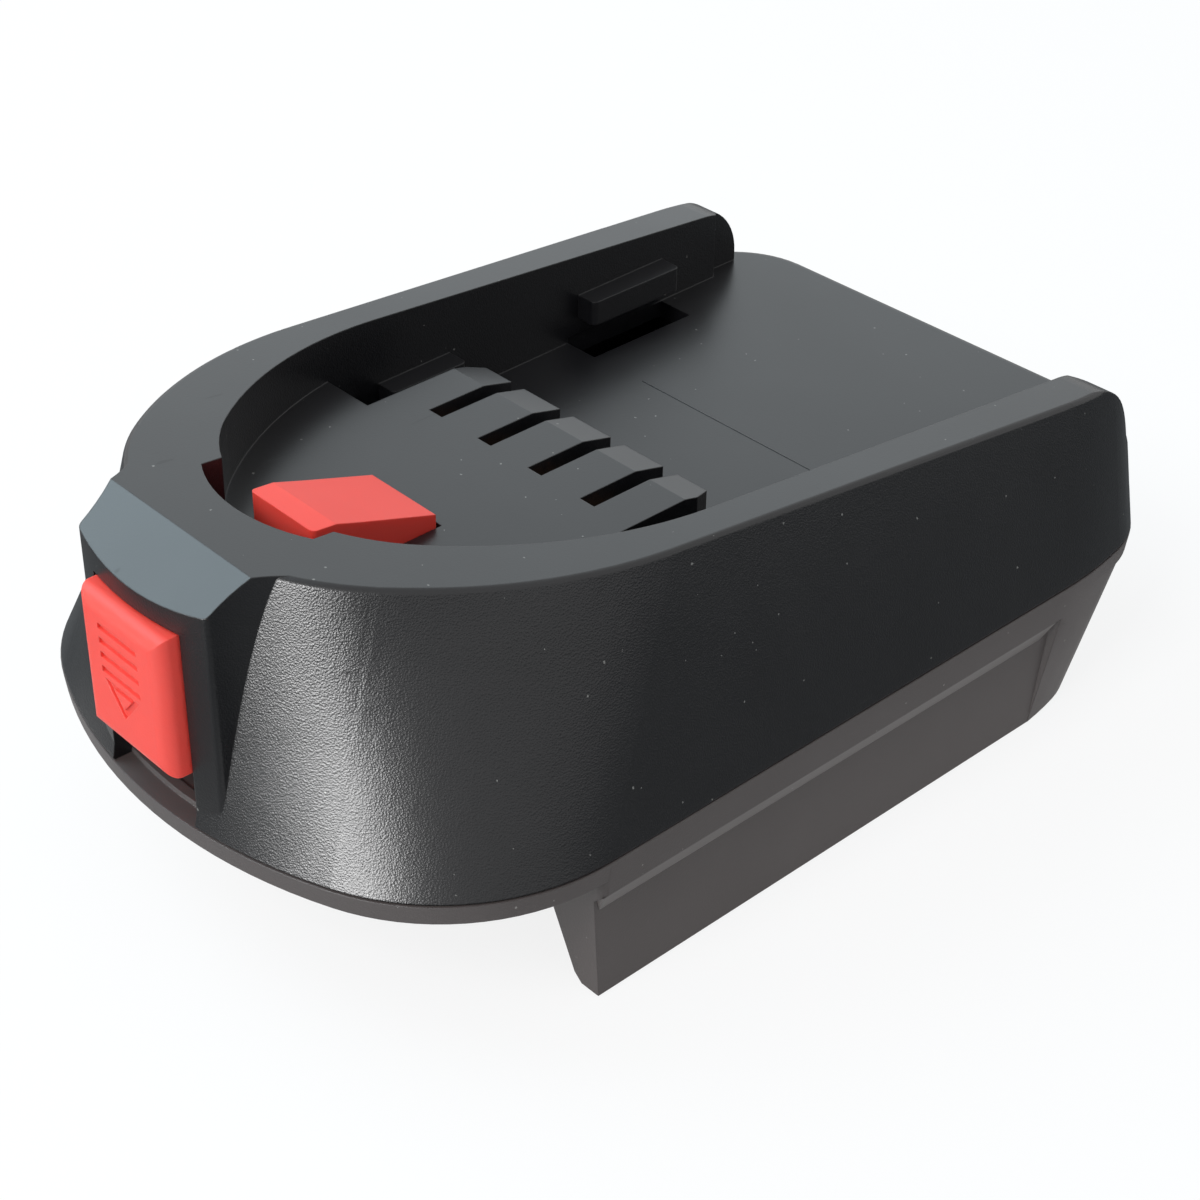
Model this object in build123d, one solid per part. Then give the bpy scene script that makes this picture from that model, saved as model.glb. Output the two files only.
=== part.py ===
from build123d import *
import os
from math import ceil, cos, hypot, pi, radians, sin, sqrt, tan

# Slide-on battery adapter for a cordless tool, in two moulded shells with a red release latch.
# The tool slides into the horseshoe channel on top, the battery slides in between the skirts below.
# Frame: X across, Y along with the release button at -Y, Z up from the skirts' bottom edges.
# Lengths are millimetres and angles are degrees.

# General values
wall = 2.2  # skin of both shells
overrun = 6.0  # how far a cutting body passes the face that it cuts
seat_gap = 0.05  # between pieces that lie against each other
slide_gap = 0.3  # beside pieces that slide

# Plan of the housing at the joint between the shells
half_width = 38.5
front_y = -59.3
rear_y = 61.0
nose_r = 60.0
nose_turn = 23.0
back_r = 55.0
back_turn = 12.0
corner_r = 13.5

# Heights
joint_z = 18.2
deck_z = 29.0
platform_z = 38.6
rim_z = 42.7  # at the middle of the length
rim_fall = 5.5  # the rim falls to the rear

# Plan of the rim's outer edge, in the rim's own sloping plane
rim_share = 0.7974  # of the width at the joint
rim_half = half_width * rim_share
rim_front = -54.2
rim_rear = 60.4
rim_nose_share = 0.847  # of the rim's half width
rim_nose_r = rim_half * rim_nose_share
rim_nose_turn = 51.0
rim_flare = 2.3
rim_back_r = 40.0
rim_back_turn = 12.0
rim_corner_r = 10.5
rim_crown = 5.8  # solid height of the rim above its hollow
rim_edge_r = 0.6
deck_edge_r = 1.2
joint_groove = 0.3  # bevel that shows as the dark line between the shells

# Channel for the tool between the walls
well_front = -43.4
rim_thickness = 4.0
well_half = rim_half - rim_thickness
well_nose_share = 0.7865  # of the channel's half width
well_nose_r = well_half * well_nose_share
well_nose_turn = 50.0
well_flare = 1.3
side_channel_y = -15.4
wall_end_y = 54.4
wall_end_r = 8.0
relief_y = 48.6
relief_depth = 1.9
notch_half = 9.2
notch_y = -46.3
notch_r = 18.0

# Terminal island with its blade slots
island_share = 0.7004  # of the channel's width
island_half = well_half * island_share
island_end = 1.2
slot_count = 4
slot_margin = 6.4
slot_pitch = 2 * (island_half - slot_margin) / (slot_count - 1)
slot_width = 2.15
slot_y = -10.9
slot_sill = 0.8
ramp_length = 4.1
ramp_drop = 1.05
tip_chamfer = 0.9
tip_chamfer_length = 2.3

# Inward noses on the walls, with the moulding windows in the deck below them
nose_reach = 3.2
nose_bottom = 31.8
nose_height = 3.2
nose_edge_r = 0.7
nose_rear_y = 24.5
nose_rear_length = 14.6
nose_front_y = -7.6
nose_front_length = 11.0
window_reach = 5.2
window_margin = 1.8

# Front block that frames the release button
block_half = 10.8
block_nose_r = 38.0
block_inset = 0.15
block_top_z = 43.8
block_crease_y = -52.8
block_back_y = -45.0
block_edge_r = 0.7
flute_r = 13.0
flute_turn = 36.0

# Release latch: button, beam, wings and catch in one moulding
button_half = 6.9
button_proud = 1.7  # in front of the housing
button_face_y = front_y - button_proud
button_bottom = 24.8
button_top = 41.3
button_edge_r = 1.7
opening_gap = 0.4
opening_margin = 0.0477  # behind the latch's flange
catch_gap = 0.4
groove_count = 4
groove_top = 38.4
groove_pitch = 1.7
groove_width = 0.7
groove_depth = 0.35
groove_length = 6.6
arrow_half = 3.0
arrow_drop = 3.5
flange_half = 8.9
flange_front_gap = 0.5
flange_thickness = 2.2
flange_top = 37.6
beam_bottom = 30.0
beam_top_gap = 0.1
wing_half = 12.4
wing_front_y = -35.6
wing_rear_y = -26.4
catch_half = 5.2
catch_front_y = -40.9
catch_crest_length = 2.9
catch_top = 44.5
catch_rear_y = -25.4
catch_rear_top = 39.9
catch_knee_y = -34.6
catch_knee_top = 43.0
catch_edge_r = 0.6

# Latch springs
spring_x = 8.8
spring_y = -31.0
spring_mean_r = 2.2
spring_wire_r = 0.32
spring_coils = 7
spring_pocket = 1.5
spring_pocket_gap = 0.3
post_r = 1.4
post_height = 4.6

# Lower shell: flange, band, hull and skirts
flange_height = 2.3
flange_draft = 0.25
band_bottom = 13.9
band_step = 0.3
band_rear_rake = 1.6
hull_draft = 0.6
hull_rear_rake = 7.8
skirt_top_y = -33.1
skirt_bottom_y = -31.9
skirt_edge_r = 1.2
panel_depth = 0.9
panel_bevel = 0.7
panel_end_top_y = 39.2
panel_end_bottom_y = 37.2
skirt_thickness = 4.7
bay_half = half_width - skirt_thickness
bay_slant = 3.6
bay_top_half = bay_half - bay_slant
bay_slant_z = 10.6
bay_chamfer = 1.0
bay_rear_y = 42.4
rail_reach = 5.4
rail_half = bay_half - rail_reach
rail_bottom = 4.6
rail_height = 2.6
rail_front_y = -28.0
rail_lead = 3.0
lip_height = 0.5
lip_width = 1.2
lip_gap = 0.1
hook_half = 8.0
hook_front_y = -46.5
hook_rear_y = -40.0
hook_depth = 3.3
hook_wall = 1.7

# Housing screws, from below
screw_inset = 17.0
screw_x = half_width - screw_inset
screw_front_y = -44.5
screw_rear_inset = 10.0
screw_rear_x = half_width - screw_rear_inset
screw_rear_y = 44.0
screw_head_r = 2.8
screw_head_h = 1.8
screw_shank_r = 1.4
screw_length = 8.0
screw_seat_z = 18.9
sleeve_r = 4.0
sleeve_top = 21.5
boss_r = 3.6
thread_gap = 0.05
head_gap = 0.3
drive_r = 1.2
drive_depth = 0.9

# Small screws of the inner parts
small_head_r = 2.1
small_head_h = 1.4
small_shank_r = 1.05
small_length = 5.0
small_drive_r = 0.9
small_drive_depth = 0.7
small_boss_r = 2.7
head_chamfer_share = 0.25

# Carrier for the tool's contacts
carrier_bottom = 24.0
carrier_top = 34.4
carrier_front_y = -12.6
carrier_gap = 0.3
ear_front_y = -19.0
ear_thickness = 2.4
ear_screw_x = island_half - slot_margin
ear_screw_y = -15.9
pocket_width = 5.2
pocket_length = 9.2
pocket_floor = 1.5

# Tool contacts, a fork of sheet in each pocket
sheet = 0.6
fork_length = 7.6
fork_half = 1.9
fork_top = 36.0
fork_neck_z = 32.8
fork_neck_gap = 0.6
fork_mouth_half = 1.5
tail_width = 3.0
tail_drop = 3.0

# Battery blades and their block
blade_thickness = 0.8
blade_bottom = 5.8
blade_height = 6.2
blade_front_y = 20.5
blade_nose = 1.4
blade_tail_top = 24.0
blade_tail_width = 3.0
block_front = 35.6
block_rear = 41.2
blade_block_margin = 3.5
blade_block_half = island_half - slot_margin + blade_block_margin
blade_block_bottom = 4.4
blade_flange_thickness = 2.2
blade_flange_margin = 1.8
blade_ear_reach = 3.2
blade_ear_x = blade_block_half + blade_ear_reach
blade_ear_r = 3.0
blade_boss_depth = 3.6
blade_fit = 0.04

# Circuit board with its resistor
board_half = 12.6
board_front_y = 11.0
board_rear_y = 25.0
board_thickness = 1.2
board_lift = 3.8
board_post_x = 9.2
board_post_r = 2.1
board_peg_r = 0.9
board_peg_gap = 0.08
resistor_size = (3.2, 1.6, 0.6)
resistor_y = 15.0

# Wires
power_wire_r = 1.15
sense_wire_r = 0.6
wire_lift = 0.9
solder_length = 2.5
wire_side_inset = 1.1
wire_side_x = island_half - wire_side_inset
wire_bend_y = 6.0


def sind(angle):
    return sin(radians(angle))


def cosd(angle):
    return cos(radians(angle))


def rim_height(y):
    return rim_z - y * tan(radians(rim_fall))


sky_z = rim_height(front_y) + overrun
ceiling_z = platform_z - wall
bay_ceiling = joint_z - flange_height
rim_plane = Plane(origin=(0, 0, rim_z), x_dir=(1, 0, 0), z_dir=(0, sind(rim_fall), cosd(rim_fall)))


def span_box(x0, x1, y0, y1, z0, z1):
    """box between two corners"""
    centre = ((x0 + x1) / 2, (y0 + y1) / 2, (z0 + z1) / 2)
    return Pos(*centre) * Box(abs(x1 - x0), abs(y1 - y0), abs(z1 - z0))


def rod(x, y, z0, z1, radius):
    """upright cylinder between two heights"""
    return Pos(x, y, (z0 + z1) / 2) * Cylinder(radius, z1 - z0)


def side_profile(points, half):
    """closed profile in the Y-Z plane, drawn out to both sides"""
    return extrude(Plane.YZ * make_face(Polyline(*points, close=True)), half, both=True)


def both_sides(solid):
    return [solid, mirror(solid, Plane.YZ)]


def arc_step(point, heading, radius, turn):
    """arc that turns left from a heading, with its end point"""
    def at(angle):
        return (point[0] + radius * (sind(angle) - sind(heading)),
                point[1] + radius * (cosd(heading) - cosd(angle)))
    end = at(heading + turn)
    return ThreePointArc(point, at(heading + turn / 2), end), end


def outline(front, rear, half, nose, turn, flare, back, back_angle, corner, inset=0, rear_inset=0):
    """plan face of tangent arcs and lines: nose, shoulder, side that opens by flare, two rear arcs"""
    front, rear, half = front + inset, rear - inset - rear_inset, half - inset
    nose, back, corner = nose - inset, back - inset, corner - inset
    side = 90 - flare
    shoulder = (half - nose * sind(turn)) / (sind(side) - sind(turn))
    first, point = arc_step((0, front), 0, nose, turn)
    second, point = arc_step(point, turn, shoulder, side - turn)
    rise = back * (cosd(side) - cosd(side + back_angle)) + corner * (cosd(side + back_angle) + 1)
    run = (rear - rise - point[1]) / sind(side)
    turn_in = (point[0] + run * cosd(side), rear - rise)
    straight = Line(point, turn_in)
    third, point = arc_step(turn_in, side, back, back_angle)
    fourth, point = arc_step(point, side + back_angle, corner, 90 + flare - back_angle)
    last = Line(point, (0, rear))
    edges = [first, second, straight, third, fourth, last]
    return make_face(edges + [mirror(edge, Plane.YZ) for edge in edges])


def joint_outline(inset=0, rear_inset=0):
    return outline(front_y, rear_y, half_width, nose_r, nose_turn, 0,
                   back_r, back_turn, corner_r, inset, rear_inset)


def rim_outline(inset=0):
    return outline(rim_front, rim_rear, rim_half, rim_nose_r, rim_nose_turn, rim_flare,
                   rim_back_r, rim_back_turn, rim_corner_r, inset)


def well_outline(extra):
    return outline(well_front, rear_y + overrun + corner_r, well_half, well_nose_r, well_nose_turn,
                   well_flare, back_r, back_turn, corner_r, -extra)


def upper_loft(inset):
    """flank of the upper shell, from the joint up to the sloping rim"""
    return loft([Pos(0, 0, joint_z) * joint_outline(inset), rim_plane * rim_outline(inset)])


def front_block():
    """block round the button, with a concave flute down each side"""
    face = front_y + block_inset
    edge = face + block_nose_r - sqrt(block_nose_r ** 2 - block_half ** 2)
    def flute(angle):
        return (block_half + flute_r * (1 - cosd(angle)), edge + flute_r * sind(angle))
    end = flute(flute_turn)
    side = [ThreePointArc((block_half, edge), flute(flute_turn / 2), end),
            Line(end, (end[0], block_back_y)), Line((end[0], block_back_y), (0, block_back_y))]
    front = ThreePointArc((-block_half, edge), (0, face), (block_half, edge))
    plan = make_face([front] + side + [mirror(part, Plane.YZ) for part in side])
    plan = fillet(plan.vertices().sort_by(Axis.Y)[:2], block_edge_r)
    far = block_back_y - front_y + overrun
    below_rim = [(front_y - overrun, joint_z), (front_y - overrun, rim_height(front_y - overrun)),
                 (front_y + far, rim_height(front_y + far)), (front_y + far, joint_z)]
    return extrude(Pos(0, 0, joint_z) * plan, sky_z - joint_z) & side_profile(below_rim, half_width)


def front_slope():
    """everything above the block's sloping top, in front of its crease"""
    face = front_y + block_inset
    slope = (rim_height(block_crease_y) - block_top_z) / (block_crease_y - face)
    tip = face - overrun
    crease = (block_crease_y, rim_height(block_crease_y))
    return side_profile([(tip, block_top_z - slope * overrun), crease, (block_crease_y, sky_z),
                         (tip, sky_z)], half_width)


def wall_end_cut(extra, floor):
    """everything above a floor behind the rounded rear ends of the walls"""
    radius = wall_end_r - extra
    cy = wall_end_y - wall_end_r
    cz = rim_height(cy) - wall_end_r / cosd(rim_fall)
    def at(angle):
        return (cy + radius * sind(angle), cz + radius * cosd(angle))
    top, middle, end = at(rim_fall), at((rim_fall + 90) / 2), at(90)
    far = rear_y + overrun
    lines = Polyline(end, (end[0], floor), (far, floor), (far, sky_z), (top[0], sky_z), top)
    return extrude(Plane.YZ * make_face([ThreePointArc(top, middle, end), lines]),
                   half_width + overrun, both=True)


def mouth_relief(extra):
    """where the channel widens at its rear mouth"""
    well_side = well_half + (relief_y - well_front) * tan(radians(well_flare)) / 2
    x0 = well_side - relief_depth
    x1, x2, y0 = well_side + extra, well_side + relief_depth + extra, relief_y - extra
    plan = make_face(Polyline((x0, y0), (x1, y0), (x2, y0 + relief_depth), (x2, rear_y + overrun),
                              (x0, rear_y + overrun), close=True))
    floor = deck_z - extra
    return both_sides(extrude(Pos(0, 0, floor) * plan, sky_z - floor))


def channel(extra):
    """space of the tool's foot, grown by extra on its closed sides"""
    plan = well_outline(extra)
    well = extrude(Pos(0, 0, platform_z - extra) * plan, sky_z - platform_z + extra)
    notch = Pos(0, notch_y + notch_r) * Circle(notch_r + extra)
    notch &= Rectangle(2 * (notch_half + extra), 2 * (well_nose_r - notch_y))
    well += extrude(Pos(0, 0, platform_z - extra) * notch, sky_z - platform_z + extra)
    floor, start, end = deck_z - extra, side_channel_y - extra, island_end - extra
    deep = extrude(Pos(0, 0, floor) * plan, sky_z - floor)
    deep &= span_box(-half_width, half_width, start, rear_y + overrun, floor, sky_z)
    island = span_box(extra - island_half, island_half - extra, start - overrun, end, floor - overrun,
                      platform_z - extra)
    deep -= island
    return [well, deep] + mouth_relief(extra)


def slot_places():
    return [(index - (slot_count - 1) / 2) * slot_pitch for index in range(slot_count)]


def island_cuts():
    """blade slots, the ramp at the tabs' tips and the cut outer corners"""
    cuts = [span_box(x - slot_width / 2, x + slot_width / 2, slot_y, island_end + overrun,
                     deck_z + slot_sill, platform_z + overrun) for x in slot_places()]
    start = island_end - ramp_length
    fall = ramp_drop / ramp_length
    far = island_end + wall
    wedge = [(start, platform_z), (far, platform_z - fall * (far - start)), (far, platform_z + wall),
             (start, platform_z + wall)]
    cuts.append(side_profile(wedge, island_half + slot_width))
    corner = make_face(Polyline((island_half - tip_chamfer, island_end), (island_half, island_end),
                                (island_half, island_end - tip_chamfer_length), close=True))
    cuts += both_sides(extrude(Pos(0, 0, deck_z) * corner, platform_z - deck_z))
    return cuts


def wall_x(y):
    """inner face of the channel's wall at a place along it"""
    shoulder_y = well_front + well_nose_r
    return well_half + max(y - shoulder_y, 0) * tan(radians(well_flare))


def wall_noses():
    noses = []
    for start, length in ((nose_rear_y, nose_rear_length), (nose_front_y, nose_front_length)):
        inner = wall_x(start) - nose_reach
        nose = span_box(inner, wall_x(start + length) + wall / 2, start, start + length,
                        nose_bottom, nose_bottom + nose_height)
        inner_edges = nose.edges().filter_by(Axis.Z).sort_by(Axis.X)[:2]
        nose = fillet(inner_edges, nose_edge_r)
        noses += both_sides(nose)
    return noses


def deck_windows():
    windows = []
    for start, length in ((nose_rear_y, nose_rear_length), (nose_front_y, nose_front_length)):
        y0, y1 = start - window_margin, start + length
        windows += both_sides(span_box(wall_x(y0) - window_reach, wall_x(y0), y0, y1,
                                       deck_z - wall - overrun, deck_z + slot_sill))
    return windows


def screw_places():
    """the four housing screws, with the height where each one's counterbore starts"""
    return [(side * x, y, start) for side in (-1, 1)
            for x, y, start in ((screw_x, screw_front_y, bay_ceiling), (screw_rear_x, screw_rear_y, 0))]


def ear_places():
    return [(side * ear_screw_x, ear_screw_y) for side in (-1, 1)]


def upper_cavity():
    """hollow of the upper shell, less the screw bosses"""
    below_crown = rim_plane.offset(-rim_crown - sky_z) * Box(2 * rear_y, 2 * (rear_y + sky_z), 2 * sky_z)
    cavity = (upper_loft(wall) & below_crown) - channel(wall) - wall_end_cut(wall, deck_z - wall)
    cavity -= [rod(x, y, sleeve_top, sky_z, boss_r) for x, y, _ in screw_places()]
    return cavity - [rod(x, y, carrier_top, sky_z, small_boss_r) for x, y in ear_places()]


def latch_openings():
    """window for the catch and opening for the button"""
    window = span_box(-catch_half - catch_gap, catch_half + catch_gap, catch_front_y - catch_gap,
                      catch_rear_y + catch_gap, ceiling_z - overrun, sky_z)
    half = button_half + opening_gap
    opening_rear = flange_place() + flange_thickness + opening_margin
    opening = span_box(-half, half, front_y - overrun, opening_rear, joint_z - overrun, button_top + slide_gap)
    return [window, opening]


def upper_housing():
    flank = upper_loft(0)
    flank = chamfer(flank.faces().sort_by(Axis.Z)[0].edges(), joint_groove)
    walls = fillet(flank.faces().sort_by(Axis.Z)[-1].edges(), rim_edge_r)
    walls -= wall_end_cut(0, joint_z - overrun)
    deck = flank & span_box(-half_width, half_width, front_y, rear_y, joint_z, deck_z)
    deck = fillet(deck.faces().sort_by(Axis.Z)[-1].edges(), deck_edge_r)
    body = walls + deck + front_block()
    body -= [front_slope()] + channel(0)
    body -= upper_cavity()
    body += wall_noses()
    body -= island_cuts() + deck_windows() + latch_openings()
    core = screw_shank_r + thread_gap
    tip = screw_seat_z + screw_length + seat_gap
    body -= [rod(x, y, joint_z, tip, core) for x, y, _ in screw_places()]
    small_core = small_shank_r + thread_gap
    top = carrier_top - ear_thickness + small_length + seat_gap
    body -= [rod(x, y, carrier_top - overrun, top, small_core) for x, y in ear_places()]
    return body


def skirt_plan(front):
    """plan that the skirts are kept within, with rounded front corners"""
    x = half_width - band_step
    round_corner, end = arc_step((x - skirt_edge_r, front), 0, skirt_edge_r, 90)
    far = x + overrun
    lines = Polyline(end, (far, end[1] + overrun), (far, rear_y + overrun), (0, rear_y + overrun))
    edges = [Line((0, front), (x - skirt_edge_r, front)), round_corner, lines]
    return make_face(edges + [mirror(edge, Plane.YZ) for edge in edges])


def hull():
    """band and hull of the lower shell behind the skirts' front ends"""
    band_edge = Pos(0, 0, band_bottom) * joint_outline(band_step, band_rear_rake)
    band = loft([Pos(0, 0, joint_z) * joint_outline(), band_edge])
    skirts = loft([band_edge, joint_outline(band_step + hull_draft, hull_rear_rake)])
    keep = loft([Pos(0, 0, joint_z) * skirt_plan(skirt_top_y), skirt_plan(skirt_bottom_y)], ruled=True)
    return (band + skirts) & keep


def bay():
    """space between the skirts for the battery's head"""
    points = [(bay_half + bay_chamfer, -overrun), (bay_half + bay_chamfer, 0), (bay_half, bay_chamfer),
              (bay_top_half, bay_slant_z), (bay_top_half, bay_ceiling)]
    points += [(-x, z) for x, z in reversed(points)]
    face = Plane.XZ * make_face(Polyline(*points, close=True))
    length = bay_rear_y - front_y + overrun
    return Pos(0, bay_rear_y, 0) * extrude(face, length)


def rear_room():
    """hollow behind the battery bay, open to the inside of the housing"""
    room = loft([Pos(0, 0, joint_z) * joint_outline(wall + band_step),
                 Pos(0, 0, wall) * joint_outline(wall + band_step + hull_draft, hull_rear_rake)])
    return room & span_box(-half_width, half_width, bay_rear_y + wall, rear_y, 0, joint_z + overrun)


def skirt_panels():
    """shallow outer recess on each skirt, with a bevelled edge"""
    inner_x = half_width - band_step - panel_depth

    def panel(x, back):
        top, low = band_bottom - back, panel_end_bottom_y - back
        slant = (panel_end_top_y - panel_end_bottom_y) / band_bottom
        points = [(front_y, -overrun), (low - slant * overrun, -overrun), (low + slant * top, top),
                  (front_y, top)]
        return Plane.YZ.offset(x) * make_face(Polyline(*points, close=True))

    recess = loft([panel(inner_x, panel_bevel), panel(inner_x + panel_depth, 0)])
    recess += loft([panel(inner_x + panel_depth, 0), panel(inner_x + 2 * panel_depth, 0)])
    return both_sides(recess)


def rails():
    """ledges that run in the grooves of the battery"""
    points = [(rail_half + rail_lead, rail_front_y), (rail_half, rail_front_y + rail_lead),
              (rail_half, bay_rear_y), (bay_half, bay_rear_y), (bay_half, rail_front_y)]
    plan = make_face(Polyline(*points, close=True))
    return both_sides(extrude(Pos(0, 0, rail_bottom) * plan, rail_height))


def joint_lip():
    """low lip that stands inside the upper shell's skin"""
    ring = upper_loft(wall + lip_gap) - upper_loft(wall + lip_gap + lip_width)
    return ring & span_box(-half_width, half_width, front_y, rear_y, joint_z, joint_z + lip_height)


def hook_box(grow, z0, z1):
    return span_box(-hook_half - grow, hook_half + grow, hook_front_y - grow, hook_rear_y + grow, z0, z1)


def spring_places():
    return [(side * spring_x, spring_y) for side in (-1, 1)]


def board_places():
    return [(side * board_post_x, (board_front_y + board_rear_y) / 2) for side in (-1, 1)]


def blade_ears():
    return [(side * blade_ear_x, (block_front + block_rear) / 2) for side in (-1, 1)]


def lower_housing():
    plate = loft([Pos(0, 0, joint_z) * joint_outline(),
                  Pos(0, 0, bay_ceiling) * joint_outline(flange_draft)])
    body = plate + hull() - bay() - rear_room() - skirt_panels() + rails() + joint_lip()
    pocket_top = bay_ceiling + hook_depth
    body += hook_box(hook_wall, joint_z - wall, pocket_top + hook_wall)
    body -= hook_box(0, bay_ceiling - overrun, pocket_top)
    for x, y, start in screw_places():
        body += rod(x, y, start, sleeve_top, sleeve_r)
        body -= rod(x, y, start - overrun, screw_seat_z, screw_head_r + head_gap)
        body -= rod(x, y, 0, sleeve_top + overrun, screw_shank_r + slide_gap)
    body += [rod(x, y, joint_z - wall / 2, joint_z + post_height, post_r) for x, y in spring_places()]
    post_top = joint_z + board_lift
    body += [rod(x, y, joint_z - wall / 2, post_top, board_post_r) for x, y in board_places()]
    body += [rod(x, y, joint_z, post_top + 2 * board_thickness, board_peg_r) for x, y in board_places()]
    body += [rod(x, y, bay_ceiling - blade_boss_depth, joint_z, small_boss_r) for x, y in blade_ears()]
    body -= span_box(-blade_block_half - seat_gap, blade_block_half + seat_gap, block_front - seat_gap,
                     block_rear + seat_gap, bay_ceiling - overrun, sky_z)
    core = small_shank_r + thread_gap
    body -= [rod(x, y, joint_z + blade_flange_thickness - small_length - seat_gap, sky_z, core)
             for x, y in blade_ears()]
    return body


def catch_profile():
    """side view of the catch: crest, knee and ramp down to the rear"""
    crest_end = catch_front_y + catch_crest_length
    return [(catch_front_y, beam_bottom), (catch_front_y, catch_top),
            (crest_end, catch_top - catch_edge_r / 2), (catch_knee_y, catch_knee_top),
            (catch_rear_y, catch_rear_top), (catch_rear_y, beam_bottom)]


def button_grooves():
    """grip grooves across the button, with the outline of an arrow-head below them"""
    bar = Box(groove_length, 2 * groove_depth, groove_width)
    grooves = [Pos(0, button_face_y, groove_top - row * groove_pitch) * bar for row in range(groove_count)]
    top = groove_top - groove_count * groove_pitch + groove_width
    arrow = make_face(Polyline((-arrow_half, top), (0, top - arrow_drop), (arrow_half, top), close=True))
    arrow -= offset(arrow, -groove_width)
    return grooves + [extrude(Plane.XZ.offset(-button_face_y) * arrow, groove_depth, both=True)]


def release_latch():
    beam_top = ceiling_z - beam_top_gap
    flange_y = flange_place()
    button = span_box(-button_half, button_half, button_face_y, flange_y + flange_thickness,
                      button_bottom, button_top)
    button = fillet(button.faces().sort_by(Axis.Y)[0].edges(), button_edge_r)
    body = button + span_box(-flange_half, flange_half, flange_y, flange_y + flange_thickness,
                             button_bottom, flange_top)
    body += span_box(-catch_half, catch_half, flange_y, catch_rear_y, beam_bottom, beam_top)
    body += span_box(-wing_half, wing_half, wing_front_y, wing_rear_y, beam_bottom, beam_top)
    catch = side_profile(catch_profile(), catch_half)
    catch = fillet(catch.edges().filter_by(Axis.Z).sort_by(Axis.Y)[:2], catch_edge_r)
    body += catch
    pocket_r = spring_mean_r + spring_wire_r + spring_pocket_gap
    pocket_end = beam_bottom + spring_pocket
    body -= [rod(x, y, beam_bottom - overrun, pocket_end, pocket_r) for x, y in spring_places()]
    return body - button_grooves()


def inner_front(z):
    """front of the upper shell's hollow on the centre line at a height"""
    share = (z - joint_z) / (rim_height(rim_front) - joint_z)
    return front_y + wall + share * (rim_front - front_y)


def flange_place():
    """front of the latch's flange, just behind the curved front wall"""
    return inner_front(flange_top) + flange_half ** 2 / (2 * rim_nose_r) + flange_front_gap


def spring_path_length():
    return beam_bottom + spring_pocket - joint_z - 2 * (spring_wire_r + seat_gap)


def latch_spring(x, y):
    """compression spring, one unbroken tube on a helix"""
    height = spring_path_length()
    helix = Helix(pitch=height / spring_coils, height=height, radius=spring_mean_r)
    start = helix @ 0
    section = Plane(origin=start, z_dir=helix % 0) * Circle(spring_wire_r)
    coil = sweep(section, path=helix)
    return Pos(x, y, joint_z + spring_wire_r + seat_gap) * coil


def contact_carrier():
    rear = island_end - wall - carrier_gap
    half = island_half - wall - carrier_gap
    body = span_box(-half, half, carrier_front_y, rear, carrier_bottom, carrier_top)
    body += span_box(-half, half, ear_front_y, carrier_front_y, carrier_top - ear_thickness, carrier_top)
    for x in slot_places():
        y0 = rear - wall / 2 - pocket_length
        body -= span_box(x - pocket_width / 2, x + pocket_width / 2, y0, y0 + pocket_length,
                         carrier_bottom + pocket_floor, carrier_top + overrun)
        middle = y0 + pocket_length / 2
        body -= span_box(x - sheet, x + sheet, middle - tail_width / 2 - seat_gap,
                         middle + tail_width / 2 + seat_gap, carrier_bottom - overrun, carrier_top)
        body -= span_box(x - slot_width / 2, x + slot_width / 2, y0, rear + overrun,
                         carrier_bottom + 2 * pocket_floor, carrier_top + overrun)
    core = small_shank_r + slide_gap
    return body - [rod(x, y, carrier_bottom, carrier_top + overrun, core) for x, y in ear_places()]


def fork_middle():
    return island_end - wall - carrier_gap - wall / 2 - pocket_length / 2


def tool_contact(x):
    """fork of bent sheet: base, two sprung arms that meet at a neck, and a tail"""
    base = carrier_bottom + pocket_floor + seat_gap
    outer = [(fork_half, base), (fork_half, base + 2 * sheet), (fork_neck_gap / 2 + sheet, fork_neck_z),
             (fork_mouth_half + sheet, fork_top)]
    inner = [(fork_mouth_half, fork_top), (fork_neck_gap / 2, fork_neck_z),
             (fork_half - sheet, base + 2 * sheet), (fork_half - sheet, base + sheet)]
    right = outer + inner
    left = [(-px, pz) for px, pz in reversed(right)]
    profile = make_face(Polyline(*right, *left, close=True))
    fork = extrude(Plane.XZ * profile, fork_length / 2, both=True)
    tail = span_box(-sheet / 2, sheet / 2, -tail_width / 2, tail_width / 2,
                    carrier_bottom - tail_drop, base + sheet / 2)
    return Pos(x, fork_middle(), 0) * (fork + tail)


def blade_profile(grow):
    """side view of a battery blade with its upright tail"""
    tail_y = (block_front + block_rear) / 2
    y0, y1 = tail_y - blade_tail_width / 2 - grow, tail_y + blade_tail_width / 2 + grow
    z0, z1 = blade_bottom - grow, blade_bottom + blade_height + grow
    nose_y = blade_front_y + blade_nose
    return [(blade_front_y, z0 + blade_nose), (nose_y, z0), (y1, z0), (y1, blade_tail_top),
            (y0, blade_tail_top), (y0, z1), (nose_y, z1), (blade_front_y, z1 - blade_nose)]


def battery_blade(x, grow=0):
    return Pos(x, 0, 0) * side_profile(blade_profile(grow), blade_thickness / 2 + grow)


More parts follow.
